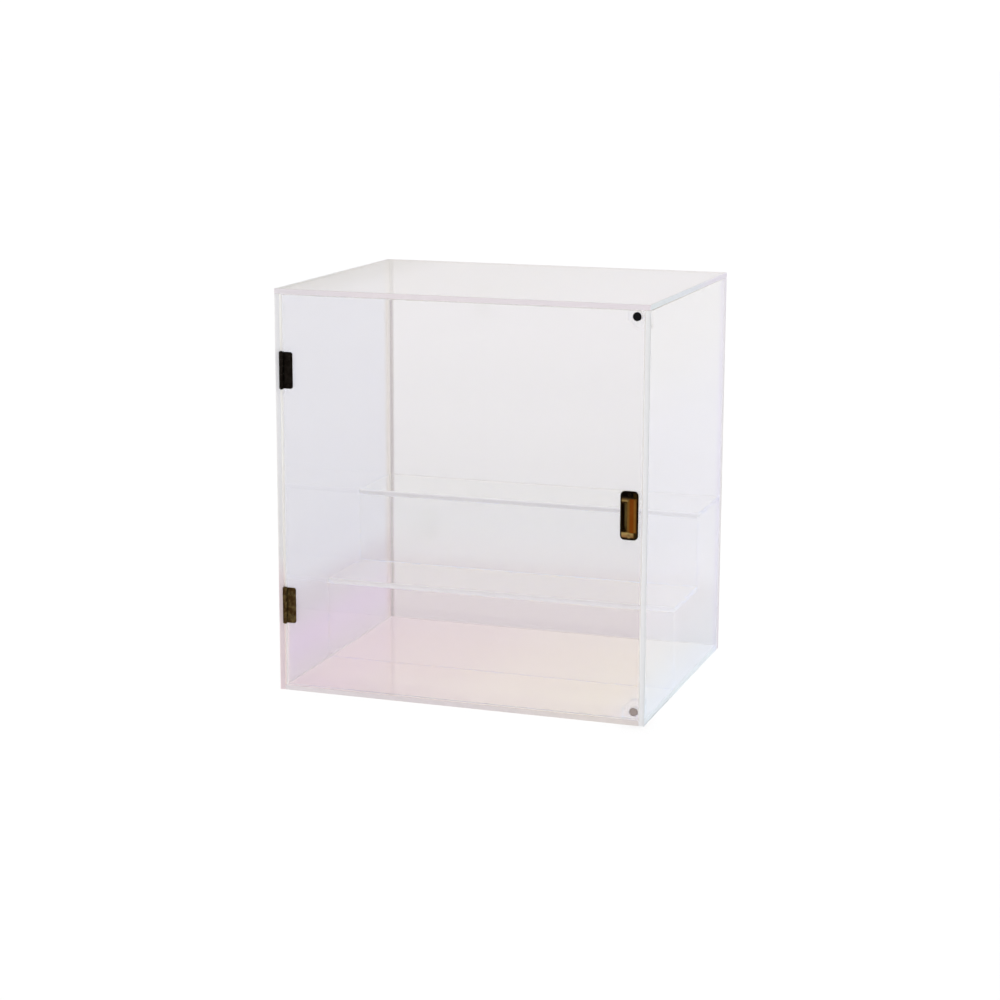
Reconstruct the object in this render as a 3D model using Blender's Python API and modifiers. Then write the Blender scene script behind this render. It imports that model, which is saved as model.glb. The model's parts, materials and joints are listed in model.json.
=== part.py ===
"""Clear acrylic display cube with a two-step stair inside and one hinged front door.

The case is five sheets glued edge to edge. The back stands behind the sides, the base lies between them and
the top covers them all. A front door of the same sheet hangs on two small butt hinges at its left edge, shuts flush with the case's front edges and is held by a pair of magnets in each free
corner. A recessed finger pull sits near the door's free edge.

Frame: metres, +Z up, -Y is the front (the door), +X is to the right of someone facing the door.
The origin is the centre of the rectangle that the case rests on.
"""

import math

import bmesh
import bpy
from mathutils import Matrix, Vector

MM = 0.001

# Case
WIDTH = 375 * MM
DEPTH = 295 * MM
HEIGHT = 400 * MM
SHEET = 5 * MM            # thickness of every acrylic sheet
GAP = 0.3 * MM            # glue line or running gap between neighbouring solids
ARRIS = 0.3 * MM          # chamfer that polishing leaves on every sheet edge

LEFT = -WIDTH / 2
FRONT = -DEPTH / 2
INNER_LEFT = LEFT + SHEET
INNER_RIGHT = -INNER_LEFT
INNER_BACK = -FRONT - SHEET
FLOOR = SHEET
CEILING = HEIGHT - SHEET

# Stair inside the case: the front face and the top of each step
LOWER_STEP_FRONT = FRONT + 111 * MM
UPPER_STEP_FRONT = LOWER_STEP_FRONT + 87 * MM
LOWER_STEP_TOP = FLOOR + 84 * MM
UPPER_STEP_TOP = LOWER_STEP_TOP + 77 * MM

# Hinges: small butt hinges of rolled sheet, one leaf inside the left side, the other on the door's front
HINGE_HEIGHT = 35.8 * MM
HINGE_FROM_TOP = 78.7 * MM       # upper hinge's centre to the case's top
HINGE_FROM_BOTTOM = 87.3 * MM    # lower hinge's centre to the case's underside
HINGE_HEIGHTS = {"upper": HEIGHT - HINGE_FROM_TOP, "lower": HINGE_FROM_BOTTOM}
LEAF_THICKNESS = 1.0 * MM
LEAF_REACH = 11.0 * MM           # pin axis to the leaf's free edge
LEAF_CORNER = 2.2 * MM
BARREL_RADIUS = 2.2 * MM
ROLL_SWEEP = math.radians(290)   # how far the sheet's edge is rolled round the pin
KNUCKLES = 5                     # the case leaf has the odd ones, the door leaf the even ones
KNUCKLE_GAP = 0.2 * MM
PIN_RADIUS = 0.9 * MM
PIN_HEAD_RADIUS = 1.7 * MM
PIN_HEAD_HEIGHT = 0.7 * MM
AXIS_X = INNER_LEFT + GAP + BARREL_RADIUS
AXIS_Y = FRONT - GAP - BARREL_RADIUS

# Countersunk screws, and the clearance that their holes keep
SCREW_HEAD_RADIUS = 1.8 * MM
SCREW_SHANK_RADIUS = 0.8 * MM
SCREW_LENGTH = 4.6 * MM
SCREW_SLOT_WIDTH = 0.5 * MM
SCREW_SLOT_DEPTH = 0.4 * MM
HINGE_SCREW_OFFSET = 11.4 * MM   # above and below the hinge's middle
HINGE_SCREW_REACH = 6.6 * MM     # from the pin axis
SCREW_TURNS = (20, 75, 130, 5)   # degrees that each slot happens to stand at

# Door
DOOR_CLEARANCE = 0.7 * MM        # to the right side, the floor sheet and the top sheet
DOOR_LEFT = INNER_LEFT + GAP + LEAF_THICKNESS + 0.4 * MM
DOOR_RIGHT = INNER_RIGHT - DOOR_CLEARANCE
DOOR_BOTTOM = FLOOR + DOOR_CLEARANCE
DOOR_TOP = CEILING - DOOR_CLEARANCE
DOOR_BACK = FRONT + SHEET

# Finger pull in the door: a plate, a pocket for the fingertips in its left half, a bulging lip in its right
PULL_WIDTH = 17.2 * MM
PULL_HEIGHT = 46.4 * MM
PULL_THICKNESS = 1.4 * MM
PULL_CORNER = 4.2 * MM
PULL_X = DOOR_RIGHT - 3 * MM - PULL_WIDTH / 2
PULL_Z = 203 * MM
PULL_WALL = 0.8 * MM
POCKET_WIDTH = 4.8 * MM
POCKET_HEIGHT = 28.4 * MM
POCKET_DEPTH = 8.4 * MM          # behind the door's front face
POCKET_CORNER = 2.2 * MM
POCKET_X = PULL_X - 4.8 * MM
POCKET_Z = PULL_Z - 1.7 * MM
LIP_X = PULL_X + 2.8 * MM
LIP_HALF_WIDTH = 5 * MM
LIP_HALF_DEPTH = 1.9 * MM
LIP_STANDOFF = 0.6 * MM          # from the plate's face out to the middle of the lip's oval section
LIP_HEIGHT = 34 * MM
PULL_SCREW_OFFSET = 19.8 * MM

# Magnet catches at the door's two free corners: one disc right through the door, one in the block behind it
MAGNET_RADIUS = 4 * MM
DOOR_MAGNET_THICKNESS = SHEET
BLOCK_MAGNET_THICKNESS = 3 * MM
# each pair's centre, from the case's right face and from its top or bottom
MAGNET_INSETS = {"upper": (13 * MM, 11.2 * MM), "lower": (10.6 * MM, 13.2 * MM)}
BLOCK_SIDE = 18 * MM
BLOCK_THICKNESS = 10 * MM
BLOCK_CORNER_CUT = 8 * MM
BLOCK_FRONT = DOOR_BACK + 0.6 * MM

# Directions that a turned piece's top can face
FACING_FRONT = Matrix.Rotation(math.radians(90), 4, "X")
FACING_BACK = Matrix.Rotation(math.radians(-90), 4, "X")
FACING_RIGHT = Matrix.Rotation(math.radians(90), 4, "Y")


# ---------------------------------------------------------------- scene and materials

def clear_scene():
    for obj in list(bpy.data.objects):
        bpy.data.objects.remove(obj, do_unlink=True)


def new_collection(name):
    collection = bpy.data.collections.new(name)
    bpy.context.scene.collection.children.link(collection)
    return collection


def new_material(name, color, roughness, metallic=0.0, transmission=0.0):
    material = bpy.data.materials.new(name)
    material.use_nodes = True
    shader = material.node_tree.nodes["Principled BSDF"]
    shader.inputs["Base Color"].default_value = (*color, 1.0)
    shader.inputs["Roughness"].default_value = roughness
    shader.inputs["Metallic"].default_value = metallic
    shader.inputs["Transmission Weight"].default_value = transmission
    shader.inputs["IOR"].default_value = 1.49
    material.diffuse_color = (*color, 1.0)
    return material


def make_materials():
    return {
        "sheet": new_material("clear_acrylic", (0.90, 0.90, 0.93), 0.03, transmission=1.0),
        "upper_brass": new_material("dark_antique_brass", (0.050, 0.036, 0.022), 0.38, metallic=1.0),
        "lower_brass": new_material("olive_antique_brass", (0.115, 0.075, 0.030), 0.38, metallic=1.0),
        "pull_brass": new_material("rubbed_antique_brass", (0.330, 0.175, 0.060), 0.34, metallic=1.0),
        "upper_magnet": new_material("black_nickel", (0.030, 0.030, 0.034), 0.30, metallic=1.0),
        "lower_magnet": new_material("bright_nickel", (0.500, 0.450, 0.420), 0.28, metallic=1.0),
    }


# ---------------------------------------------------------------- building blocks

def new_object(name, mesh, collection, matrix, material=None, parent=None):
    obj = bpy.data.objects.new(name, mesh)
    collection.objects.link(obj)
    if parent is not None:
        obj.parent = parent
        obj.matrix_parent_inverse = parent.matrix_world.inverted()
    obj.matrix_world = matrix
    if material is not None:
        mesh.materials.append(material)
    return obj


def box_mesh(name, size, round_axis=None, radius=0.0, segments=5, only=None):
    """A box about its centre. Edges along round_axis are rounded, or only those that pass the test."""
    bm = bmesh.new()
    bmesh.ops.create_cube(bm, size=1.0)
    bmesh.ops.scale(bm, vec=size, verts=bm.verts)
    if round_axis is not None:
        across = [axis for axis in range(3) if axis != round_axis]
        edges = [
            edge for edge in bm.edges
            if all(abs(edge.verts[0].co[axis] - edge.verts[1].co[axis]) < 1e-9 for axis in across)
            and (only is None or only(edge.verts[0].co))
        ]
        bmesh.ops.bevel(bm, geom=edges, offset=radius, segments=segments, profile=0.5, affect="EDGES")
    mesh = bpy.data.meshes.new(name)
    bm.to_mesh(mesh)
    bm.free()
    return mesh


def box(name, low, high, collection, material=None, parent=None, **rounding):
    """A box given by its lowest and highest corners."""
    low = Vector(low)
    high = Vector(high)
    mesh = box_mesh(name, high - low, **rounding)
    return new_object(name, mesh, collection, Matrix.Translation((low + high) / 2), material, parent)


def turned(name, profile, collection, matrix, material=None, parent=None, steps=24):
    """A solid of revolution about its own Z. The profile is (radius, z) pairs, from the top downwards."""
    mesh = bpy.data.meshes.new(name)
    bm = bmesh.new()
    verts = [bm.verts.new((radius, 0.0, z)) for radius, z in profile]
    for first, second in zip(verts, verts[1:]):
        bm.edges.new((first, second))
    bm.to_mesh(mesh)
    bm.free()
    obj = new_object(name, mesh, collection, matrix, material, parent)
    screw = obj.modifiers.new("turn", "SCREW")
    screw.axis = "Z"
    screw.angle = math.tau
    screw.steps = steps
    screw.render_steps = steps
    screw.use_merge_vertices = True
    screw.merge_threshold = 1e-6
    return obj


def as_cutter(obj):
    obj.hide_render = True
    obj.display_type = "WIRE"
    return obj


def combine(obj, other, operation="DIFFERENCE"):
    modifier = obj.modifiers.new(operation.lower(), "BOOLEAN")
    modifier.operation = operation
    modifier.solver = "EXACT"
    modifier.object = other


def break_edges(obj, width=ARRIS):
    bevel = obj.modifiers.new("arris", "BEVEL")
    bevel.width = width
    bevel.segments = 1
    bevel.limit_method = "ANGLE"
    bevel.angle_limit = math.radians(40)


def sheet(name, low, high, parts, materials, parent=None):
    """One saw-cut and polished piece of acrylic sheet."""
    panel = box(name, low, high, parts, materials["sheet"], parent)
    break_edges(panel)
    return panel


# ---------------------------------------------------------------- case

def make_case(parts, materials):
    """The sides and the back stand on the table with the base between them, and the top covers them all."""
    top = CEILING - GAP
    rear = INNER_BACK - GAP
    sheet("base_panel", (INNER_LEFT + GAP, FRONT, 0), (INNER_RIGHT - GAP, rear, FLOOR), parts, materials)
    sheet("top_panel", (LEFT, FRONT, CEILING), (-LEFT, -FRONT, HEIGHT), parts, materials)
    sheet("back_panel", (LEFT, INNER_BACK, 0), (-LEFT, -FRONT, top), parts, materials)
    sheet("right_side_panel", (INNER_RIGHT, FRONT, 0), (-LEFT, rear, top), parts, materials)
    return sheet("left_side_panel", (LEFT, FRONT, 0), (INNER_LEFT, rear, top), parts, materials)


def make_stair(parts, materials):
    """Two treads, each on a riser under its front edge. The upper riser stands on the lower tread."""
    x0 = INNER_LEFT + GAP
    x1 = INNER_RIGHT - GAP
    steps = (
        ("lower", LOWER_STEP_FRONT, UPPER_STEP_FRONT + SHEET, FLOOR, LOWER_STEP_TOP),
        ("upper", UPPER_STEP_FRONT, INNER_BACK - GAP, LOWER_STEP_TOP, UPPER_STEP_TOP),
    )
    for name, front, back, foot, top in steps:
        riser_low = (x0, front, foot + GAP)
        riser_high = (x1, front + SHEET, top - SHEET - GAP)
        sheet(f"{name}_riser", riser_low, riser_high, parts, materials)
        sheet(f"{name}_tread", (x0, front, top - SHEET), (x1, back, top), parts, materials)


# ---------------------------------------------------------------- door

def make_door(parts, materials, axis):
    low = (DOOR_LEFT, FRONT, DOOR_BOTTOM)
    high = (DOOR_RIGHT, DOOR_BACK, DOOR_TOP)
    return sheet("door_panel", low, high, parts, materials, parent=axis)


# ---------------------------------------------------------------- screws

def screw_profile(clearance=0.0, rise=0.0, length=SCREW_LENGTH):
    """Countersunk head with its top at z = 0. A hole's profile is wider all round and starts higher."""
    head = SCREW_HEAD_RADIUS + clearance
    shank = SCREW_SHANK_RADIUS + clearance
    taper = head - shank
    return [
        (0.0, rise),
        (head, rise),
        (head, -0.1 * MM),
        (shank, -0.1 * MM - taper),
        (shank, -length + 0.5 * shank),
        (0.0, -length),
    ]


def make_screw(name, matrix, slot_turn, holders, parts, cutters, material, parent=None):
    """One countersunk screw, with its hole cut in each sheet that it holds."""
    screw = turned(name, screw_profile(), parts, matrix, material, parent, steps=16)
    hole_profile = screw_profile(GAP, rise=1.0 * MM, length=SCREW_LENGTH + GAP)
    hole = as_cutter(turned(f"{name}_hole", hole_profile, cutters, matrix, parent=parent, steps=16))
    for holder in holders:
        combine(holder, hole)
    slot_size = (3 * SCREW_HEAD_RADIUS, SCREW_SLOT_WIDTH, 2 * SCREW_SLOT_DEPTH)
    slot_matrix = matrix @ Matrix.Rotation(math.radians(slot_turn), 4, "Z")
    slot_mesh = box_mesh(f"{name}_slot", slot_size)
    slot = as_cutter(new_object(f"{name}_slot", slot_mesh, cutters, slot_matrix, parent=parent))
    combine(screw, slot)


# ---------------------------------------------------------------- hinges

def knuckle_span(index):
    """Bottom and top of one knuckle, measured from the hinge's middle."""
    pitch = (HINGE_HEIGHT + KNUCKLE_GAP) / KNUCKLES
    bottom = -HINGE_HEIGHT / 2 + index * pitch
    return bottom, bottom + pitch - KNUCKLE_GAP


def rolled_leaf(name, parts, matrix, material, parent=None):
    """A sheet that runs along +X from a roll about the Z axis. Its outer face is towards +Y."""
    middle = BARREL_RADIUS - LEAF_THICKNESS / 2
    turns = 20
    outline = [(LEAF_REACH, middle), (BARREL_RADIUS + KNUCKLE_GAP, middle)]
    for step in range(turns + 1):
        angle = math.radians(90) + ROLL_SWEEP * step / turns
        outline.append((middle * math.cos(angle), middle * math.sin(angle)))
    bm = bmesh.new()
    verts = [bm.verts.new((x, y, -HINGE_HEIGHT / 2)) for x, y in outline]
    edges = [bm.edges.new(pair) for pair in zip(verts, verts[1:])]
    swept = bmesh.ops.extrude_edge_only(bm, edges=edges)
    top_verts = [item for item in swept["geom"] if isinstance(item, bmesh.types.BMVert)]
    bmesh.ops.translate(bm, vec=(0, 0, HINGE_HEIGHT), verts=top_verts)
    corners = [vert for vert in bm.verts if vert.co.x > LEAF_REACH - 1e-6]
    bmesh.ops.bevel(bm, geom=corners, offset=LEAF_CORNER, segments=4, profile=0.5, affect="VERTICES")
    for face in bm.faces:
        face.smooth = face.calc_center_median().x < BARREL_RADIUS
    mesh = bpy.data.meshes.new(name)
    bm.to_mesh(mesh)
    bm.free()
    leaf = new_object(name, mesh, parts, matrix, material, parent)
    solidify = leaf.modifiers.new("sheet", "SOLIDIFY")
    solidify.thickness = LEAF_THICKNESS
    solidify.offset = 0.0
    solidify.use_even_offset = True
    return leaf


def cut_notches(leaf, knuckles, cutters, matrix, parent=None):
    """Clears the roll, with a round cut that follows the barrel, where the other leaf's knuckles sit."""
    reach = BARREL_RADIUS + KNUCKLE_GAP
    for index in knuckles:
        bottom, top = knuckle_span(index)
        overrun = 1.0 * MM
        low = bottom - KNUCKLE_GAP - (overrun if index == 0 else 0.0)
        high = top + KNUCKLE_GAP + (overrun if index == KNUCKLES - 1 else 0.0)
        profile = [(0.0, high), (reach, high), (reach, low), (0.0, low)]
        name = f"{leaf.name}_notch_{index + 1}"
        combine(leaf, as_cutter(turned(name, profile, cutters, matrix, parent=parent, steps=32)))


def make_pin(name, matrix, parts, material):
    """A pin with a low domed head above and below the barrel."""
    half = HINGE_HEIGHT / 2 + KNUCKLE_GAP
    dome = [
        (PIN_HEAD_RADIUS * math.sin(angle), PIN_HEAD_HEIGHT * math.cos(angle))
        for angle in (math.radians(degrees) for degrees in (0, 25, 50, 72, 90))
    ]
    upper = [(radius, half + height) for radius, height in dome]
    lower = [(radius, -z) for radius, z in reversed(upper)]
    profile = upper + [(PIN_RADIUS, half), (PIN_RADIUS, -half)] + lower
    turned(name, profile, parts, matrix, material)


def make_hinge(side, parts, cutters, materials, left_side, door, axis):
    material = materials[f"{side}_brass"]
    middle = Matrix.Translation((AXIS_X, AXIS_Y, HINGE_HEIGHTS[side]))
    case_matrix = middle @ Matrix.Rotation(math.radians(90), 4, "Z")
    odd = range(0, KNUCKLES, 2)
    even = range(1, KNUCKLES, 2)

    case_leaf = rolled_leaf(f"{side}_hinge_case_leaf", parts, case_matrix, material)
    cut_notches(case_leaf, even, cutters, case_matrix)
    door_leaf = rolled_leaf(f"{side}_hinge_door_leaf", parts, middle, material, parent=axis)
    cut_notches(door_leaf, odd, cutters, middle, parent=axis)
    make_pin(f"{side}_hinge_pin", middle, parts, material)

    leaf_face = BARREL_RADIUS - LEAF_THICKNESS
    for number, height in ((1, HINGE_SCREW_OFFSET), (2, -HINGE_SCREW_OFFSET)):
        case_place = middle @ Matrix.Translation((-leaf_face, HINGE_SCREW_REACH, height)) @ FACING_RIGHT
        door_place = middle @ Matrix.Translation((HINGE_SCREW_REACH, leaf_face, height)) @ FACING_FRONT
        make_screw(f"{side}_hinge_case_screw_{number}", case_place, SCREW_TURNS[number - 1],
                   (case_leaf, left_side), parts, cutters, material)
        make_screw(f"{side}_hinge_door_screw_{number}", door_place, SCREW_TURNS[number + 1],
                   (door_leaf, door), parts, cutters, material, parent=axis)


# ---------------------------------------------------------------- finger pull

def lip_profile():
    """Half the outline of a rod with round ends, from its top down."""
    straight = LIP_HEIGHT / 2 - LIP_HALF_WIDTH
    quarter = [math.radians(15 * step) for step in range(7)]
    upper = [(LIP_HALF_WIDTH * math.sin(angle), straight + LIP_HALF_WIDTH * math.cos(angle)) for angle in quarter]
    upper[0] = (0.0, LIP_HEIGHT / 2)
    return upper + [(radius, -z) for radius, z in reversed(upper)]


def make_pull(parts, cutters, materials, door, axis):
    material = materials["pull_brass"]
    back = FRONT - GAP
    front = back - PULL_THICKNESS
    cup_back = FRONT + POCKET_DEPTH + PULL_WALL
    overlap = 0.5 * MM

    plate_low = (PULL_X - PULL_WIDTH / 2, front, PULL_Z - PULL_HEIGHT / 2)
    plate_high = (PULL_X + PULL_WIDTH / 2, back, PULL_Z + PULL_HEIGHT / 2)
    pull = box("finger_pull", plate_low, plate_high, parts, material, axis,
               round_axis=1, radius=PULL_CORNER, segments=5)

    def pocket_shape(name, margin, y0, y1):
        """The pocket's outline, larger by the margin all round, between two depths."""
        half_width = POCKET_WIDTH / 2 + margin
        half_height = POCKET_HEIGHT / 2 + margin
        low = (POCKET_X - half_width, y0, POCKET_Z - half_height)
        high = (POCKET_X + half_width, y1, POCKET_Z + half_height)
        corner = POCKET_CORNER + margin
        return as_cutter(box(name, low, high, cutters, None, axis, round_axis=1, radius=corner, segments=5))

    combine(pull, pocket_shape("finger_pull_cup", PULL_WALL, back - overlap, cup_back), "UNION")

    flatten = Matrix.Scale(LIP_HALF_DEPTH / LIP_HALF_WIDTH, 4, (0, 1, 0))
    lip_place = Matrix.Translation((LIP_X, front - LIP_STANDOFF, PULL_Z)) @ flatten
    lip = as_cutter(turned("finger_pull_lip", lip_profile(), cutters, lip_place, parent=axis, steps=28))
    combine(pull, lip, "UNION")

    combine(pull, pocket_shape("finger_pull_pocket", 0.0, front - 5 * MM, FRONT + POCKET_DEPTH))
    combine(door, pocket_shape("finger_pull_opening", PULL_WALL + GAP, FRONT - 1 * MM, DOOR_BACK + 1 * MM))

    for name, height, turn in (("upper", PULL_SCREW_OFFSET, 35), ("lower", -PULL_SCREW_OFFSET, 100)):
        place = Matrix.Translation((PULL_X, front, PULL_Z + height)) @ FACING_FRONT
        make_screw(f"{name}_pull_screw", place, turn, (pull, door), parts, cutters, material, parent=axis)


# ---------------------------------------------------------------- magnet catches

def magnet_profile(thickness, clearance=0.0, rise=0.0):
    """A disc whose face is at z = 0, with broken edges. A pocket's profile is wider and rises above the face."""
    radius = MAGNET_RADIUS + clearance
    depth = thickness + clearance
    return [
        (0.0, rise),
        (radius - ARRIS, rise),
        (radius, rise - ARRIS),
        (radius, ARRIS - depth),
        (radius - ARRIS, -depth),
        (0.0, -depth),
    ]


def make_magnet(name, matrix, thickness, hole_depth, holder, parts, cutters, material, parent=None):
    turned(name, magnet_profile(thickness), parts, matrix, material, parent)
    hole_profile = magnet_profile(hole_depth, GAP, rise=1.0 * MM)
    combine(holder, as_cutter(turned(f"{name}_hole", hole_profile, cutters, matrix, parent=parent)))


def make_catch(side, parts, cutters, materials, door, axis):
    """A clear block glued into the corner behind the door, which stops the door and holds one magnet."""
    material = materials[f"{side}_magnet"]
    towards_middle = -1 if side == "upper" else 1
    corner_x = INNER_RIGHT - GAP
    corner_z = CEILING - GAP if side == "upper" else FLOOR + GAP
    heights = sorted((corner_z, corner_z + towards_middle * BLOCK_SIDE))

    def is_inner_corner(point):
        return point.x < 0 and point.z * towards_middle > 0

    block = box(f"{side}_catch_block", (corner_x - BLOCK_SIDE, BLOCK_FRONT, heights[0]),
                (corner_x, BLOCK_FRONT + BLOCK_THICKNESS, heights[1]), parts, materials["sheet"],
                round_axis=1, radius=BLOCK_CORNER_CUT, segments=1, only=is_inner_corner)
    break_edges(block)

    from_right, from_end = MAGNET_INSETS[side]
    x = -LEFT - from_right
    z = HEIGHT - from_end if side == "upper" else from_end
    block_place = Matrix.Translation((x, BLOCK_FRONT, z)) @ FACING_FRONT
    make_magnet(f"{side}_catch_magnet", block_place, BLOCK_MAGNET_THICKNESS, BLOCK_MAGNET_THICKNESS,
                block, parts, cutters, material)
    door_place = Matrix.Translation((x, DOOR_BACK, z)) @ FACING_BACK
    make_magnet(f"{side}_door_magnet", door_place, DOOR_MAGNET_THICKNESS, DOOR_MAGNET_THICKNESS + 1 * MM,
                door, parts, cutters, material, parent=axis)


# ---------------------------------------------------------------- assembly

def main():
    clear_scene()
    parts = new_collection("acrylic_display_cube")
    cutters = new_collection("cutters")
    materials = make_materials()

    axis = bpy.data.objects.new("door_axis", None)
    axis.empty_display_size = 10 * MM
    axis.location = (AXIS_X, AXIS_Y, HEIGHT / 2)
    parts.objects.link(axis)
    bpy.context.view_layer.update()

    left_side = make_case(parts, materials)
    make_stair(parts, materials)
    door = make_door(parts, materials, axis)
    for side in ("upper", "lower"):
        make_hinge(side, parts, cutters, materials, left_side, door, axis)
        make_catch(side, parts, cutters, materials, door, axis)
    make_pull(parts, cutters, materials, door, axis)


main()
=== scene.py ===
"""Looks for the clear acrylic display cube: camera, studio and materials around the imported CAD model."""

import json
import math

import bmesh
import bpy
from mathutils import Matrix, Vector

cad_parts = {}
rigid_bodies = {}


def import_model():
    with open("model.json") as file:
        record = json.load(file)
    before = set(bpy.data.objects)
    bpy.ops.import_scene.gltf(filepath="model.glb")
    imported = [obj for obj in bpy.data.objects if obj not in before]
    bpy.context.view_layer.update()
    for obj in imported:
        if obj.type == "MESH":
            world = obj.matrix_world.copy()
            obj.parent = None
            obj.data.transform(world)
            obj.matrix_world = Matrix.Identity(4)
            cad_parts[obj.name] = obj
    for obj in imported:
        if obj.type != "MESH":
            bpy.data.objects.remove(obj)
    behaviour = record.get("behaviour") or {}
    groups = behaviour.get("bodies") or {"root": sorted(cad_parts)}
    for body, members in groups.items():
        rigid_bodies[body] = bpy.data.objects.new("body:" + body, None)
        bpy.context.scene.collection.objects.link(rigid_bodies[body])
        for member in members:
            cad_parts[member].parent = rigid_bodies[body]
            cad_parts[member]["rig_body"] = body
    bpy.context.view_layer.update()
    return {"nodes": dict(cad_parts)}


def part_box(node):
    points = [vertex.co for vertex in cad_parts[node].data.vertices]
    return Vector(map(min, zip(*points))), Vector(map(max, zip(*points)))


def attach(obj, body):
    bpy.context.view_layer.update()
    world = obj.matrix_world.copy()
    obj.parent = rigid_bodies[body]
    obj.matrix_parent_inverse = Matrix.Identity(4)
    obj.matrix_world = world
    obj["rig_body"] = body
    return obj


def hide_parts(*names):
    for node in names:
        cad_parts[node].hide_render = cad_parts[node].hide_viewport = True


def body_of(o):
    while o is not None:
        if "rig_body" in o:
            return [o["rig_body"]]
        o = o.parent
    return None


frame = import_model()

MM = 0.001
nodes = frame["nodes"]
top_low, case_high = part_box("top_panel")
case_low = Vector((top_low.x, top_low.y, 0.0))


# ---------------------------------------------------------------- camera

CAMERA_PLACE = Vector((0.7347, -2.1677, 0.6553))
CAMERA_YAW = math.radians(-18.904)
CAMERA_PITCH = math.radians(-11.814)
CAMERA_ROLL = math.radians(0.202)
CAMERA_LENS = 83.0
CAMERA_SENSOR = 36.0
CAMERA_REACH = 100.0


def make_camera():
    data = bpy.data.cameras.new("camera")
    data.lens = CAMERA_LENS
    data.sensor_width = CAMERA_SENSOR
    data.clip_end = CAMERA_REACH
    camera = bpy.data.objects.new("camera", data)
    bpy.context.scene.collection.objects.link(camera)
    turn = Matrix.Rotation(-CAMERA_YAW, 4, "Z")
    tilt = Matrix.Rotation(math.radians(90) + CAMERA_PITCH, 4, "X")
    roll = Matrix.Rotation(CAMERA_ROLL, 4, "Z")
    camera.matrix_world = Matrix.Translation(CAMERA_PLACE) @ turn @ tilt @ roll
    bpy.context.scene.camera = camera


# ---------------------------------------------------------------- node helpers

def new_material(name):
    material = bpy.data.materials.new(name)
    material.use_nodes = True
    tree = material.node_tree
    return material, tree, tree.nodes["Principled BSDF"]


def feed(tree, socket, value):
    """Links a node's output to the socket, or sets it to a plain value."""
    if isinstance(value, bpy.types.NodeSocket):
        tree.links.new(value, socket)
    else:
        socket.default_value = value


def math_node(tree, operation, first, second=None, clamp=False):
    node = tree.nodes.new("ShaderNodeMath")
    node.operation = operation
    node.use_clamp = clamp
    feed(tree, node.inputs[0], first)
    if second is not None:
        feed(tree, node.inputs[1], second)
    return node.outputs[0]


def map_range(tree, value, low, high, to_low=0.0, to_high=1.0, smooth=True):
    node = tree.nodes.new("ShaderNodeMapRange")
    node.interpolation_type = "SMOOTHSTEP" if smooth else "LINEAR"
    feed(tree, node.inputs["Value"], value)
    node.inputs["From Min"].default_value = low
    node.inputs["From Max"].default_value = high
    node.inputs["To Min"].default_value = to_low
    node.inputs["To Max"].default_value = to_high
    return node.outputs["Result"]


def blend_color(tree, factor, first, second, mode="MIX"):
    node = tree.nodes.new("ShaderNodeMix")
    node.data_type = "RGBA"
    node.blend_type = mode
    feed(tree, node.inputs["Factor"], factor)
    for socket, color in (("A", first), ("B", second)):
        linked = isinstance(color, bpy.types.NodeSocket)
        feed(tree, node.inputs[socket], color if linked else (*color, 1.0))
    return node.outputs["Result"]


def ramp(tree, value, stops):
    """A colour ramp: stops are (position, colour) pairs."""
    node = tree.nodes.new("ShaderNodeValToRGB")
    node.color_ramp.interpolation = "EASE"
    elements = node.color_ramp.elements
    while len(elements) < len(stops):
        elements.new(0.5)
    while len(elements) > len(stops):
        elements.remove(elements[-1])
    for element, (position, color) in zip(elements, stops):
        element.position = position
        element.color = (*color, 1.0)
    feed(tree, node.inputs["Fac"], value)
    return node.outputs["Color"]


def blend_value(tree, factor, first, second):
    node = tree.nodes.new("ShaderNodeMix")
    feed(tree, node.inputs["Factor"], factor)
    feed(tree, node.inputs["A"], first)
    feed(tree, node.inputs["B"], second)
    return node.outputs["Result"]


def noise(tree, coords, scale, detail=2.0, roughness=0.5):
    node = tree.nodes.new("ShaderNodeTexNoise")
    node.inputs["Scale"].default_value = scale
    node.inputs["Detail"].default_value = detail
    node.inputs["Roughness"].default_value = roughness
    tree.links.new(coords["Object"], node.inputs["Vector"])
    return node.outputs["Fac"]


def add_bump(tree, shader, height, distance, strength):
    node = tree.nodes.new("ShaderNodeBump")
    node.inputs["Distance"].default_value = distance
    node.inputs["Strength"].default_value = strength
    tree.links.new(height, node.inputs["Height"])
    tree.links.new(node.outputs["Normal"], shader.inputs["Normal"])


def coordinates(tree):
    """The piece's own coordinates and normal, which are the model's at rest and travel with the piece."""
    return tree.nodes.new("ShaderNodeTexCoord").outputs


def split_axes(tree, vector):
    split = tree.nodes.new("ShaderNodeSeparateXYZ")
    tree.links.new(vector, split.inputs[0])
    return split.outputs


# ---------------------------------------------------------------- studio

WORLD_STRENGTH = 1.07
FLOOR_SHADE = 0.95
FLOOR_BRIGHTNESS = WORLD_STRENGTH * FLOOR_SHADE    # the backdrop through the sheets, so that no horizon shows
FLOOR_HALF_SIZE = 30.0
FLOOR_DROP = 0.2 * MM
FLOOR_ROUGHNESS = 0.9
FLOOR_SPECULAR = 0.1
BOUNCES = {"max_bounces": 24, "transmission_bounces": 24, "glossy_bounces": 12, "transparent_max_bounces": 48}

# The reflected room's shade: from and to which direction it changes, and the shade at both ends
ROOM_UPWARD = (-0.1, 0.8, 0.84, 1.0)
ROOM_SIDEWAYS = (-0.8, 0.8, 0.90, 1.02)


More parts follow.
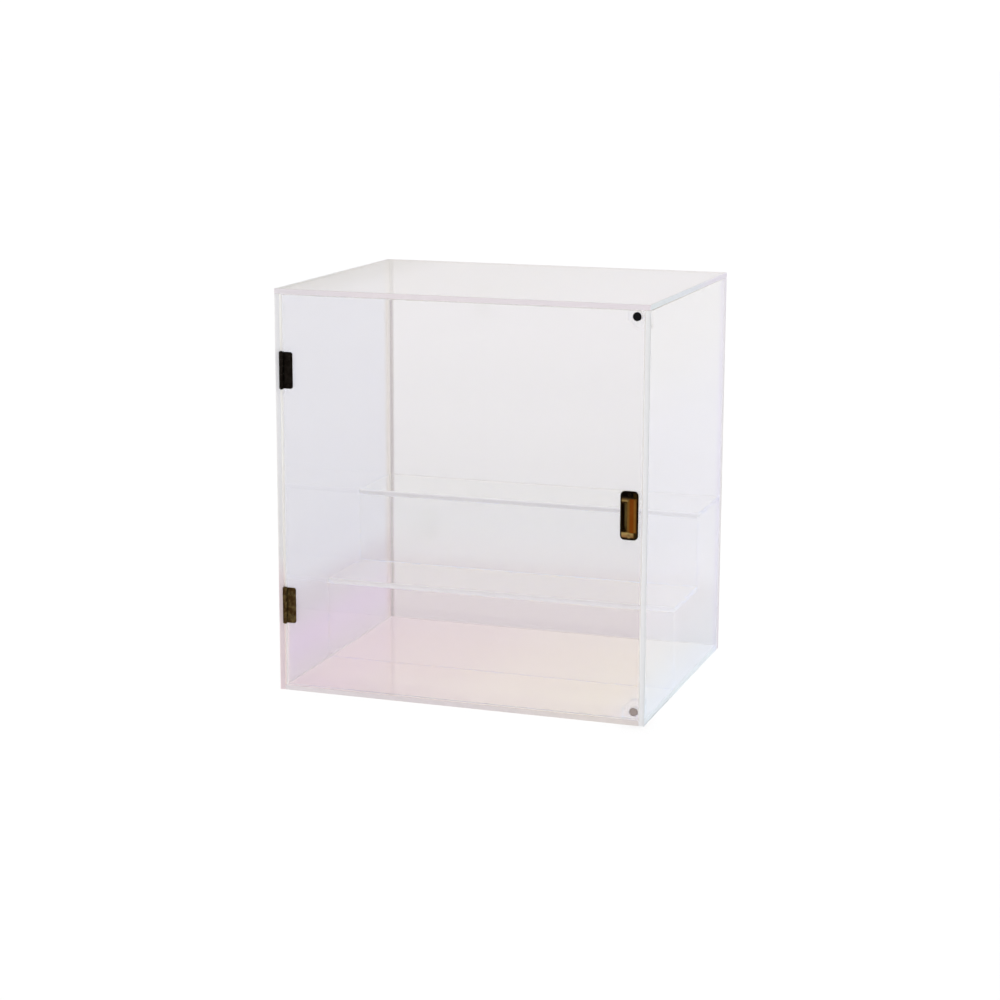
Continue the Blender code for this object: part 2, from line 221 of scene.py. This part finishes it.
def make_world(scene):
    """Even white light, with a softly shaded room that only reflections show."""
    world = bpy.data.worlds.new("studio")
    scene.world = world
    world.use_nodes = True
    tree = world.node_tree
    backdrop = tree.nodes["Background"]
    backdrop.inputs["Color"].default_value = (1, 1, 1, 1)
    backdrop.inputs["Strength"].default_value = WORLD_STRENGTH
    room = tree.nodes.new("ShaderNodeBackground")
    direction = split_axes(tree, coordinates(tree)["Generated"])
    upward = map_range(tree, direction["Z"], *ROOM_UPWARD)
    sideways = map_range(tree, direction["X"], *ROOM_SIDEWAYS)
    reflected = math_node(tree, "MULTIPLY", upward, sideways)
    path = tree.nodes.new("ShaderNodeLightPath")
    seen = blend_value(tree, path.outputs["Is Transmission Ray"], reflected, FLOOR_BRIGHTNESS)
    tree.links.new(seen, room.inputs["Color"])
    mixed = tree.nodes.new("ShaderNodeMixShader")
    tree.links.new(path.outputs["Is Glossy Ray"], mixed.inputs["Fac"])
    tree.links.new(backdrop.outputs[0], mixed.inputs[1])
    tree.links.new(room.outputs[0], mixed.inputs[2])
    tree.links.new(mixed.outputs[0], tree.nodes["World Output"].inputs["Surface"])


def make_floor(scene):
    bm = bmesh.new()
    bmesh.ops.create_grid(bm, x_segments=1, y_segments=1, size=FLOOR_HALF_SIZE)
    mesh = bpy.data.meshes.new("floor")
    bm.to_mesh(mesh)
    bm.free()
    floor = bpy.data.objects.new("floor", mesh)
    floor.location.z = -FLOOR_DROP
    scene.collection.objects.link(floor)
    material, _, shader = new_material("floor")
    shader.inputs["Base Color"].default_value = (FLOOR_SHADE, FLOOR_SHADE, FLOOR_SHADE, 1)
    shader.inputs["Roughness"].default_value = FLOOR_ROUGHNESS
    shader.inputs["Specular IOR Level"].default_value = FLOOR_SPECULAR
    mesh.materials.append(material)


def make_studio():
    scene = bpy.context.scene
    scene.view_settings.view_transform = "Standard"
    for setting, count in BOUNCES.items():
        setattr(scene.cycles, setting, count)
    make_world(scene)
    make_floor(scene)


# ---------------------------------------------------------------- acrylic

FACE_ROUGHNESS = 0.015
FACE_CLEARNESS = 0.95
SATIN_ROUGHNESS = 0.40
SATIN_CLEARNESS = 0.30
ACRYLIC_INDEX = 1.49
GLUED_INDEX = 1.01
FILM_THICKNESS = 330.0
FILM_INDEX = 1.33
SMEAR_SCALE = 9.0
SMEARS = (0.3, 0.75)
POLISH = (0.6 * FACE_ROUGHNESS, 1.6 * FACE_ROUGHNESS)

# How squarely a surface has to face a side, as the normal's share along it: where a mask begins and is full
SATIN_FACING = (0.5, 0.8)
GLUED_FACING = (0.3, 0.6)

X, Y, Z = 0, 1, 2
FRONT, BACK, LEFT, RIGHT, UNDER, UPPER = (Y, -1), (Y, 1), (X, -1), (X, 1), (Z, -1), (Z, 1)

# The faces' colour, partly the sheets' own pearly tint and partly painted shade and reflection, such as the
# back and left sides darker towards the floor and the top darker towards its left end: the axis along which
# it changes, and the colour at shares of the case's size along it
FACES = {
    "door_panel": (Z, ((0.0, (0.922, 0.912, 0.917)),)),
    # Painted shade: the back is darkest along its foot, where it meets the floor
    "back_panel": (Z, ((0.030, (0.680, 0.610, 0.610)), (0.045, (0.718, 0.645, 0.642)),
                       (0.15, (0.735, 0.675, 0.670)), (0.21, (0.805, 0.780, 0.780)),
                       (0.30, (0.807, 0.801, 0.800)), (0.42, (0.839, 0.827, 0.825)),
                       (0.63, (0.874, 0.861, 0.858)), (0.85, (0.903, 0.888, 0.887)))),
    "left_side_panel": (Z, ((0.0, (0.690, 0.625, 0.690)), (0.10, (0.718, 0.614, 0.765)),
                            (0.195, (0.669, 0.633, 0.699)), (0.29, (0.750, 0.759, 0.824)),
                            (0.48, (0.780, 0.790, 0.842)), (0.685, (0.803, 0.813, 0.862)),
                            (0.91, (0.816, 0.828, 0.872)))),
    "right_side_panel": (Z, ((0.0, (0.825, 0.910, 1.000)), (0.3, (0.884, 0.888, 0.963)),
                             (0.45, (0.858, 0.860, 0.938)), (0.65, (0.862, 0.862, 0.930)),
                             (0.9, (0.871, 0.869, 0.893)))),
    "top_panel": (X, ((0.0, (0.769, 0.720, 0.699)), (0.25, (0.939, 0.896, 0.895)),
                      (1.0, (0.958, 0.922, 0.933)))),
    "base_panel": (X, ((0.0, (0.833, 0.696, 0.720)), (0.3, (0.859, 0.736, 0.719)),
                       (0.6, (0.900, 0.805, 0.735)), (0.85, (0.914, 0.837, 0.736)),
                       (1.0, (0.880, 0.850, 0.875)))),
    "lower_tread": (X, ((0.0, (0.998, 0.990, 0.980)),)),
    "upper_tread": (X, ((0.0, (0.960, 0.965, 0.951)),)),
    "lower_riser": (X, ((0.0, (0.985, 0.965, 0.970)), (1.0, (0.990, 0.985, 0.980)))),
    "upper_riser": (X, ((0.0, (0.960, 0.960, 0.960)),)),
    "upper_catch_block": (X, ((0.0, (0.97, 0.97, 0.97)),)),
    "lower_catch_block": (X, ((0.0, (0.97, 0.97, 0.97)),)),
}

# Strips along a joint, painted shade where the neighbouring sheet's edge shows through, which multiply the
# faces' tint
STRIPS = {
    "left_side_panel": (Y, ((0.935, (1.0, 1.0, 1.0)), (0.955, (1.0, 0.93, 0.82)))),
    "right_side_panel": (Y, ((0.91, (1.0, 1.0, 1.0)), (0.94, (0.93, 0.91, 1.0)), (0.98, (0.91, 0.89, 1.0)))),
    "back_panel": (X, ((0.0195, (0.66, 0.62, 0.60)), (0.0225, (1.0, 1.0, 1.0)))),
    "base_panel": (Y, ((0.08, (0.95, 0.935, 0.965)), (0.2, (1.0, 1.0, 1.0)))),
}

# The pale strip low down on the left side, behind the door's edge, which is a painted reflection
PALE_DEPTH = 18 * MM
PALE_DEPTH_BLEND = 4 * MM
PALE_HEIGHT = 100 * MM
PALE_HEIGHT_BLEND = 30 * MM
PALE_REFLECTION = (0.84, 0.755, 0.765)

# Beside the door's edge, the front strip of the left side's faces is satin like its front edge
SATIN_DEPTH = 5 * MM
SATIN_BLEND = 1.5 * MM

# Satin sawn edges: the side that each one faces, then its tint as above, which also holds painted shade and
# reflection. Other edges are as clear as the faces.
EDGES = {
    "top_panel": (
        (FRONT, X, ((0.0, (0.775, 0.720, 0.728)), (1.0, (0.775, 0.720, 0.735)))),
        (LEFT, Y, ((0.0, (0.82, 0.80, 0.80)),)),
        (RIGHT, Y, ((0.0, (0.70, 0.79, 0.86)), (0.5, (0.72, 0.79, 0.90)), (0.8, (0.76, 0.745, 0.89)))),
        (BACK, X, ((0.0, (0.80, 0.78, 0.80)),)),
    ),
    "base_panel": (
        (FRONT, X, ((0.0, (0.74, 0.69, 0.69)), (0.45, (0.745, 0.695, 0.695)), (0.87, (0.765, 0.71, 0.67)))),
        (LEFT, Y, ((0.0, (0.80, 0.72, 0.75)),)),
        (RIGHT, Y, ((0.0, (0.88, 0.90, 0.95)),)),
    ),
    "left_side_panel": (
        (FRONT, Z, ((0.0, (0.80, 0.68, 0.69)), (0.26, (0.80, 0.70, 0.70)), (0.36, (0.82, 0.81, 0.79)),
                    (0.7, (0.87, 0.87, 0.86)))),
        (BACK, Z, ((0.0, (1.0, 0.88, 0.80)),)),
    ),
    "right_side_panel": (
        (FRONT, X, ((0.987, (0.86, 0.86, 0.85)), (0.994, (0.83, 0.83, 0.82)), (1.0, (0.70, 0.70, 0.69)))),
    ),
    "back_panel": (
        (LEFT, Z, ((0.0, (0.80, 0.79, 0.82)),)),
        (RIGHT, Z, ((0.0, (0.78, 0.75, 0.88)), (0.4, (0.80, 0.80, 0.85)), (0.6, (0.80, 0.80, 0.85)),
                    (1.0, (0.78, 0.76, 0.88)))),
    ),
    "door_panel": (
        (LEFT, Z, ((0.2, (0.80, 0.71, 0.72)), (0.36, (0.82, 0.81, 0.80)))),
        (RIGHT, Z, ((0.0, (0.84, 0.84, 0.82)),)),
        (UNDER, X, ((0.0, (0.80, 0.73, 0.73)), (0.9, (0.82, 0.77, 0.73)))),
    ),
    # The treads' front edges carry bands of painted highlight and shade across their height
    "lower_tread": (
        (FRONT, Z, ((0.210, (0.80, 0.78, 0.78)), (0.2135, (0.82, 0.80, 0.80)), (0.217, (0.80, 0.78, 0.78)),
                    (0.2195, (0.74, 0.71, 0.71)))),
    ),
    "upper_tread": (
        (FRONT, Z, ((0.4035, (0.78, 0.76, 0.76)), (0.4065, (0.66, 0.65, 0.65)), (0.411, (0.66, 0.65, 0.65)),
                    (0.414, (0.88, 0.87, 0.87)))),
    ),
}

# Edges that glue joins to a neighbouring sheet, so that they hardly bend or reflect the light
GLUED = {
    "lower_riser": (LEFT, RIGHT, UNDER, UPPER),
    "upper_riser": (LEFT, RIGHT, UNDER, UPPER),
    "lower_tread": (LEFT, RIGHT),
    "upper_tread": (LEFT, RIGHT, BACK),
}


def pass_light(tree, shader):
    """Lets light reach what stands inside or under the case without the sheets' dark caustic shadow."""
    path = tree.nodes.new("ShaderNodeLightPath")
    lighting = math_node(tree, "MAXIMUM", path.outputs["Is Shadow Ray"], path.outputs["Is Diffuse Ray"])
    clear = tree.nodes.new("ShaderNodeBsdfTransparent")
    mixed = tree.nodes.new("ShaderNodeMixShader")
    tree.links.new(lighting, mixed.inputs["Fac"])
    tree.links.new(shader.outputs["BSDF"], mixed.inputs[1])
    tree.links.new(clear.outputs["BSDF"], mixed.inputs[2])
    tree.links.new(mixed.outputs["Shader"], tree.nodes["Material Output"].inputs["Surface"])


def tint_and_painted_light(tree, axes, axis, stops):
    """The colour, with its painted shade and light, that changes along one axis of the case, at shares of the
    case's size.
    """
    share = map_range(tree, axes[axis], case_low[axis], case_high[axis], smooth=False)
    return ramp(tree, share, stops)


def either(tree, mask, other):
    """The union of two masks, of which the first may be missing."""
    return other if mask is None else math_node(tree, "MAXIMUM", mask, other)


def facing(tree, normal, side, limits):
    """1 where the surface faces the given side of the case, 0 elsewhere."""
    axis, sign = side
    return map_range(tree, math_node(tree, "MULTIPLY", normal[axis], float(sign)), *limits)


def pale_reflection_strip(tree, axes, color):
    """The colour with the left side's pale strip, a painted reflection, over it."""
    depth = case_low.y + PALE_DEPTH
    shallow = map_range(tree, axes[Y], depth, depth - PALE_DEPTH_BLEND)
    low_down = map_range(tree, axes[Z], PALE_HEIGHT, PALE_HEIGHT - PALE_HEIGHT_BLEND)
    return blend_color(tree, math_node(tree, "MULTIPLY", shallow, low_down), color, PALE_REFLECTION)


def face_color(tree, axes, name):
    color = tint_and_painted_light(tree, axes, *FACES[name])
    if name in STRIPS:
        color = blend_color(tree, 1.0, color, tint_and_painted_light(tree, axes, *STRIPS[name]), "MULTIPLY")
    if name == "left_side_panel":
        color = pale_reflection_strip(tree, axes, color)
    return color


def satin_edges(tree, axes, normal, name, color):
    """The colour with the satin edges' tints and painted light over it, and the mask of these edges, or None
    without any.
    """
    satin = None
    for side, tint_axis, stops in EDGES.get(name, ()):
        mask = facing(tree, normal, side, SATIN_FACING)
        color = blend_color(tree, mask, color, tint_and_painted_light(tree, axes, tint_axis, stops))
        satin = either(tree, satin, mask)
    if name == "left_side_panel":
        _, tint_axis, stops = EDGES[name][0]
        depth = case_low.y + SATIN_DEPTH
        beside_door = map_range(tree, axes[Y], depth + SATIN_BLEND, depth)
        color = blend_color(tree, beside_door, color, tint_and_painted_light(tree, axes, tint_axis, stops))
        satin = either(tree, satin, beside_door)
    return color, satin


def glued_edges(tree, normal, name):
    """The mask of the edges that GLUED lists, or None without any."""
    glued = None
    for side in GLUED.get(name, ()):
        glued = either(tree, glued, facing(tree, normal, side, GLUED_FACING))
    return glued


def acrylic(name):
    """Clear sheet with tinted faces that carry painted shade and reflection, and with satin edges where EDGES
    lists them.
    """
    material, tree, shader = new_material(name)
    coords = coordinates(tree)
    axes = split_axes(tree, coords["Object"])
    normal = split_axes(tree, coords["Normal"])
    color, satin = satin_edges(tree, axes, normal, name, face_color(tree, axes, name))
    tree.links.new(color, shader.inputs["Base Color"])
    smears = noise(tree, coords, SMEAR_SCALE, detail=3.0)
    polish = map_range(tree, smears, *SMEARS, *POLISH)
    if satin is None:
        tree.links.new(polish, shader.inputs["Roughness"])
        shader.inputs["Transmission Weight"].default_value = FACE_CLEARNESS
    else:
        clearness = blend_value(tree, satin, FACE_CLEARNESS, SATIN_CLEARNESS)
        tree.links.new(clearness, shader.inputs["Transmission Weight"])
        tree.links.new(blend_value(tree, satin, polish, SATIN_ROUGHNESS), shader.inputs["Roughness"])
    shader.inputs["IOR"].default_value = ACRYLIC_INDEX
    glued = glued_edges(tree, normal, name)
    if glued is not None:
        tree.links.new(blend_value(tree, glued, ACRYLIC_INDEX, GLUED_INDEX), shader.inputs["IOR"])
    shader.inputs["Thin Film Thickness"].default_value = FILM_THICKNESS
    shader.inputs["Thin Film IOR"].default_value = FILM_INDEX
    pass_light(tree, shader)
    return material


# ---------------------------------------------------------------- metal

WEAR_WIDTH = 0.45 * MM
RIM_WIDTH = 0.9 * MM
BEVEL_SAMPLES = 6
EDGE_AGREEMENT = (0.995, 0.90)      # how far the rounded and true normals agree on flat metal and on an edge

PATINA = (0.375, 0.675)             # the noise between the dark and the light colour
RUBBED = (0.3, 0.6)                 # the noise between the least and the most wear on an edge
LEAST_WEAR = 0.4
GRAIN_FINENESS = 6
GRAIN = (0.3, 0.7)
GRAIN_DEPTH = 0.03 * MM
GRAIN_STRENGTH = 0.35
BRASS_SPECULAR = 0.3

SCUFF_SCALE = 900.0
SCUFFS = (0.35, 0.7)
SCUFFED_SHADE = 0.85
# How dark the magnet's rim is: painted shade along its edge
RIM_SHADE = 0.4
SCUFF_ROUGHNESS = 0.15


def worn_and_shaded_edges(tree, width):
    """1 along sharp outer edges, 0 on flat metal: where a rounded normal leaves the true one."""
    rounded = tree.nodes.new("ShaderNodeBevel")
    rounded.samples = BEVEL_SAMPLES
    rounded.inputs["Radius"].default_value = width
    geometry = tree.nodes.new("ShaderNodeNewGeometry")
    compare = tree.nodes.new("ShaderNodeVectorMath")
    compare.operation = "DOT_PRODUCT"
    tree.links.new(rounded.outputs["Normal"], compare.inputs[0])
    tree.links.new(geometry.outputs["Normal"], compare.inputs[1])
    return map_range(tree, compare.outputs["Value"], *EDGE_AGREEMENT)


def antique(name, dark, light, worn, wear=0.7, scale=260.0, roughness=(0.30, 0.50), polish=1.0,
            edge_tint=(0.5, 0.4, 0.3)):
    """Brass with a mottled patina between two colours, rubbed towards a third along its edges."""
    material, tree, shader = new_material(name)
    coords = coordinates(tree)
    patches = noise(tree, coords, scale, detail=4.0, roughness=0.6)
    color = blend_color(tree, map_range(tree, patches, *PATINA), dark, light)
    patchy = map_range(tree, patches, *RUBBED, LEAST_WEAR, wear)
    rubbed = math_node(tree, "MULTIPLY", worn_and_shaded_edges(tree, WEAR_WIDTH), patchy)
    color = blend_color(tree, rubbed, color, worn)
    tree.links.new(color, shader.inputs["Base Color"])
    grain = noise(tree, coords, scale * GRAIN_FINENESS)
    tree.links.new(map_range(tree, grain, *GRAIN, *roughness), shader.inputs["Roughness"])
    shader.inputs["Metallic"].default_value = polish
    shader.inputs["Specular IOR Level"].default_value = BRASS_SPECULAR
    shader.inputs["Specular Tint"].default_value = (*edge_tint, 1.0)
    add_bump(tree, shader, grain, GRAIN_DEPTH, GRAIN_STRENGTH)
    return material


def shaded(color, shade):
    return tuple(shade * channel for channel in color)


def nickel(name, color, roughness, metallic=0.0, specular=0.5):
    """Plated magnet with faint handling scuffs and a darker rim, which is painted shade along its edge."""
    material, tree, shader = new_material(name)
    scuffs = noise(tree, coordinates(tree), SCUFF_SCALE, detail=3.0)
    scuffed = blend_color(tree, map_range(tree, scuffs, *SCUFFS), color, shaded(color, SCUFFED_SHADE))
    rimmed = blend_color(tree, worn_and_shaded_edges(tree, RIM_WIDTH), scuffed, shaded(color, RIM_SHADE))
    tree.links.new(rimmed, shader.inputs["Base Color"])
    worn_roughness = map_range(tree, scuffs, *GRAIN, roughness, roughness + SCUFF_ROUGHNESS)
    tree.links.new(worn_roughness, shader.inputs["Roughness"])
    shader.inputs["Metallic"].default_value = metallic
    shader.inputs["Specular IOR Level"].default_value = specular
    return material


def paint(name, material):
    mesh = nodes[name].data
    mesh.materials.clear()
    mesh.materials.append(material)


WELD_DISTANCE = 0.002 * MM
FLAT_ANGLE = math.radians(1.5)
ROUNDING_ANGLE = math.radians(35)
ROUNDING_SEGMENTS = 2
SCREW_BEVEL = 0.10 * MM
HINGE_BEVEL = 0.18 * MM
PULL_BEVEL = 0.45 * MM
MAGNET_BEVEL = 0.25 * MM


def refine(name, material, bevel):
    """A copy of a CAD piece with rounded edges and smooth shading, which is shown in its place."""
    source = nodes[name]
    mesh = source.data.copy()
    mesh.name = f"{name}_finished"
    bm = bmesh.new()
    bm.from_mesh(mesh)
    bmesh.ops.remove_doubles(bm, verts=bm.verts, dist=WELD_DISTANCE)
    bmesh.ops.dissolve_limit(bm, angle_limit=FLAT_ANGLE, verts=bm.verts, edges=bm.edges)
    bm.to_mesh(mesh)
    bm.free()
    mesh.materials.clear()
    mesh.materials.append(material)
    piece = bpy.data.objects.new(f"{name}_finished", mesh)
    bpy.context.scene.collection.objects.link(piece)
    piece.matrix_world = source.matrix_world
    rounding = piece.modifiers.new("rounding", "BEVEL")
    rounding.width = bevel
    rounding.segments = ROUNDING_SEGMENTS
    rounding.limit_method = "ANGLE"
    rounding.angle_limit = ROUNDING_ANGLE
    rounding.harden_normals = True
    mesh.polygons.foreach_set("use_smooth", [True] * len(mesh.polygons))
    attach(piece, body_of(source)[0])
    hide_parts(name)


# Brass: its dark, light and worn colours. The hinges are one brass: near-black on the upper hinge as painted
# shade, olive on the lower as painted light
UPPER_HINGE_SHADED_BRASS = ((0.0060, 0.0042, 0.0033), (0.014, 0.011, 0.009), (0.040, 0.034, 0.028))
LOWER_HINGE_LIT_BRASS = ((0.045, 0.022, 0.006), (0.115, 0.080, 0.030), (0.180, 0.135, 0.060))
PULL_BRASS = ((0.14, 0.055, 0.010), (0.22, 0.105, 0.025), (0.34, 0.22, 0.08))
# The pull's two screws are one brass: near-black on the upper as painted shade, gold on the lower as painted
# light
UPPER_PULL_SCREW_SHADED_BRASS = ((0.008, 0.005, 0.003), (0.012, 0.008, 0.005), (0.02, 0.014, 0.008))
LOWER_PULL_SCREW_LIT_BRASS = ((0.26, 0.16, 0.06), (0.34, 0.22, 0.08), (0.36, 0.25, 0.1))
PULL_RIM = (0.008, 0.005, 0.003)
PULL_RECESS = (0.22, 0.16, 0.06)


def make_hinges():
    dull = {"wear": 0.4, "roughness": (0.50, 0.65), "polish": 0.6, "edge_tint": (0.12, 0.09, 0.06)}
    # The same brass, painted in shade on the upper hinge and in light on the lower
    for side, colors in (("upper", UPPER_HINGE_SHADED_BRASS), ("lower", LOWER_HINGE_LIT_BRASS)):
        look = antique(f"{side}_brass", *colors, **dull)
        for name in sorted(nodes):
            if name.startswith(f"{side}_hinge"):
                refine(name, look, SCREW_BEVEL if "screw" in name else HINGE_BEVEL)


def rounded_reach(tree, axes, middle, half_width, half_height, corner):
    """How far a point lies outside a rounded rectangle in the XZ plane. Inside it is negative, and never
    below minus the corner's radius."""
    squares = []
    for axis, half in ((X, half_width), (Z, half_height)):
        offset = math_node(tree, "ABSOLUTE", math_node(tree, "SUBTRACT", axes[axis], middle[axis]))
        past = math_node(tree, "MAXIMUM", math_node(tree, "SUBTRACT", offset, half - corner), 0.0)
        squares.append(math_node(tree, "MULTIPLY", past, past))
    length = math_node(tree, "SQRT", math_node(tree, "ADD", *squares))
    return math_node(tree, "SUBTRACT", length, corner)


# Across the pull: the recess, olive gold where the lip turns, orange brown on its crown, tan at the right.
# The recess's dark is painted shade, and the olive gold and the tan are painted highlights over the brass's
# colour
LIP_BANDS = ((0.28, (0.012, 0.008, 0.003)), (0.37, (0.050, 0.032, 0.010)), (0.44, (0.16, 0.088, 0.020)),
             (0.52, (0.165, 0.080, 0.015)), (0.60, (0.17, 0.036, 0.002)), (0.74, (0.18, 0.038, 0.002)),
             (0.84, (0.20, 0.085, 0.013)), (0.95, (0.14, 0.055, 0.010)))
LIP_BANDS_SHARE = 0.8

# Up the plate, below and above the lip: a dark foot, then gold, and brown and black at the top. The gold is a
# painted highlight where the plate faces up, and the black at the top is painted shade
PLATE_BANDS = ((0.035, (0.020, 0.010, 0.003)), (0.075, (0.30, 0.16, 0.06)), (0.13, (0.36, 0.25, 0.09)),
               (0.50, (0.20, 0.11, 0.03)), (0.80, (0.30, 0.20, 0.07)), (0.835, (0.12, 0.07, 0.025)),
               (0.865, (0.020, 0.012, 0.006)), (0.90, (0.003, 0.002, 0.0015)))

# Distances from the pull's left and lower edges: where each part of the look begins and is full
PLATE_RIGHT = (11.5 * MM, 14.0 * MM)
PLATE_RIGHT_COLOR = (0.030, 0.016, 0.004)
SHOULDER = (7.5 * MM, 9.5 * MM)
SHOULDER_HEIGHT = (36.0 * MM, 38.8 * MM)
SHOULDER_BLEND = 1.2 * MM
LIP_FOOT = (7.8 * MM, 6.4 * MM)

PLATE_RISE = 1.7 * MM                   # how far the plate stands in front of the door
POCKET_DEPTH = (0.9 * MM, 3.2 * MM)     # where the recess colour begins and is full, behind the plate's front
PULL_CORNER = 4.5 * MM
RIM_REACH = (-2.1 * MM, -0.5 * MM)      # where the rim's colour begins and is full, from the pull's outline


def lip_color(tree, from_left, width, mottled):
    across = map_range(tree, from_left, 0.0, width, smooth=False)
    return blend_color(tree, LIP_BANDS_SHARE, mottled, ramp(tree, across, LIP_BANDS))


def plate_color(tree, from_left, from_bottom, height):
    up = map_range(tree, from_bottom, 0.0, height, smooth=False)
    far_right = map_range(tree, from_left, *PLATE_RIGHT)
    return blend_color(tree, far_right, ramp(tree, up, PLATE_BANDS), PLATE_RIGHT_COLOR)


def plate_mask(tree, from_left, from_bottom):
    """1 above and below the lip, where the flat plate shows."""
    shoulder = map_range(tree, from_left, *SHOULDER, *SHOULDER_HEIGHT)
    above = map_range(tree, math_node(tree, "SUBTRACT", from_bottom, shoulder), 0.0, SHOULDER_BLEND)
    below = map_range(tree, from_bottom, *LIP_FOOT)
    return math_node(tree, "MAXIMUM", above, below)


def pull_color(tree, mottled):
    """The mottled brass with the lip's bands, the plate, the pocket and the black rim over it, where the
    bands carry painted shade and highlights.
    """
    axes = split_axes(tree, coordinates(tree)["Object"])
    low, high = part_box("finger_pull")
    width = high.x - low.x
    height = high.z - low.z
    from_left = math_node(tree, "SUBTRACT", axes[X], low.x)
    from_bottom = math_node(tree, "SUBTRACT", axes[Z], low.z)
    color = lip_color(tree, from_left, width, mottled)
    plate = plate_color(tree, from_left, from_bottom, height)
    color = blend_color(tree, plate_mask(tree, from_left, from_bottom), color, plate)
    plate_front = case_low.y - PLATE_RISE
    inside = map_range(tree, axes[Y], *(plate_front + depth for depth in POCKET_DEPTH))
    color = blend_color(tree, inside, color, PULL_RECESS)
    reach = rounded_reach(tree, axes, (low + high) / 2, width / 2, height / 2, PULL_CORNER)
    return blend_color(tree, map_range(tree, reach, *RIM_REACH), color, PULL_RIM)


def make_pull():
    material = antique("pull_brass", *PULL_BRASS, wear=0.4, scale=180.0, roughness=(0.36, 0.52))
    tree = material.node_tree
    base_color = tree.nodes["Principled BSDF"].inputs["Base Color"]
    mottled = base_color.links[0].from_socket
    tree.links.new(pull_color(tree, mottled), base_color)
    refine("finger_pull", material, PULL_BEVEL)
    # The same screw brass, painted in shade at the top and in light at the bottom
    refine("upper_pull_screw", antique("shaded_pull_screw", *UPPER_PULL_SCREW_SHADED_BRASS), SCREW_BEVEL)
    refine("lower_pull_screw", antique("lit_pull_screw", *LOWER_PULL_SCREW_LIT_BRASS), SCREW_BEVEL)


def make_magnets():
    looks = {
        "upper": nickel("upper_magnet", (0.002, 0.002, 0.0025), 0.5, specular=0.10),
        "lower": nickel("lower_magnet", (0.37, 0.31, 0.29), 0.35, metallic=0.8),
    }
    for side, look in looks.items():
        for part in ("door", "catch"):
            refine(f"{side}_{part}_magnet", look, MAGNET_BEVEL)


make_camera()
make_studio()
for name in FACES:
    paint(name, acrylic(name))
make_hinges()
make_pull()
make_magnets()
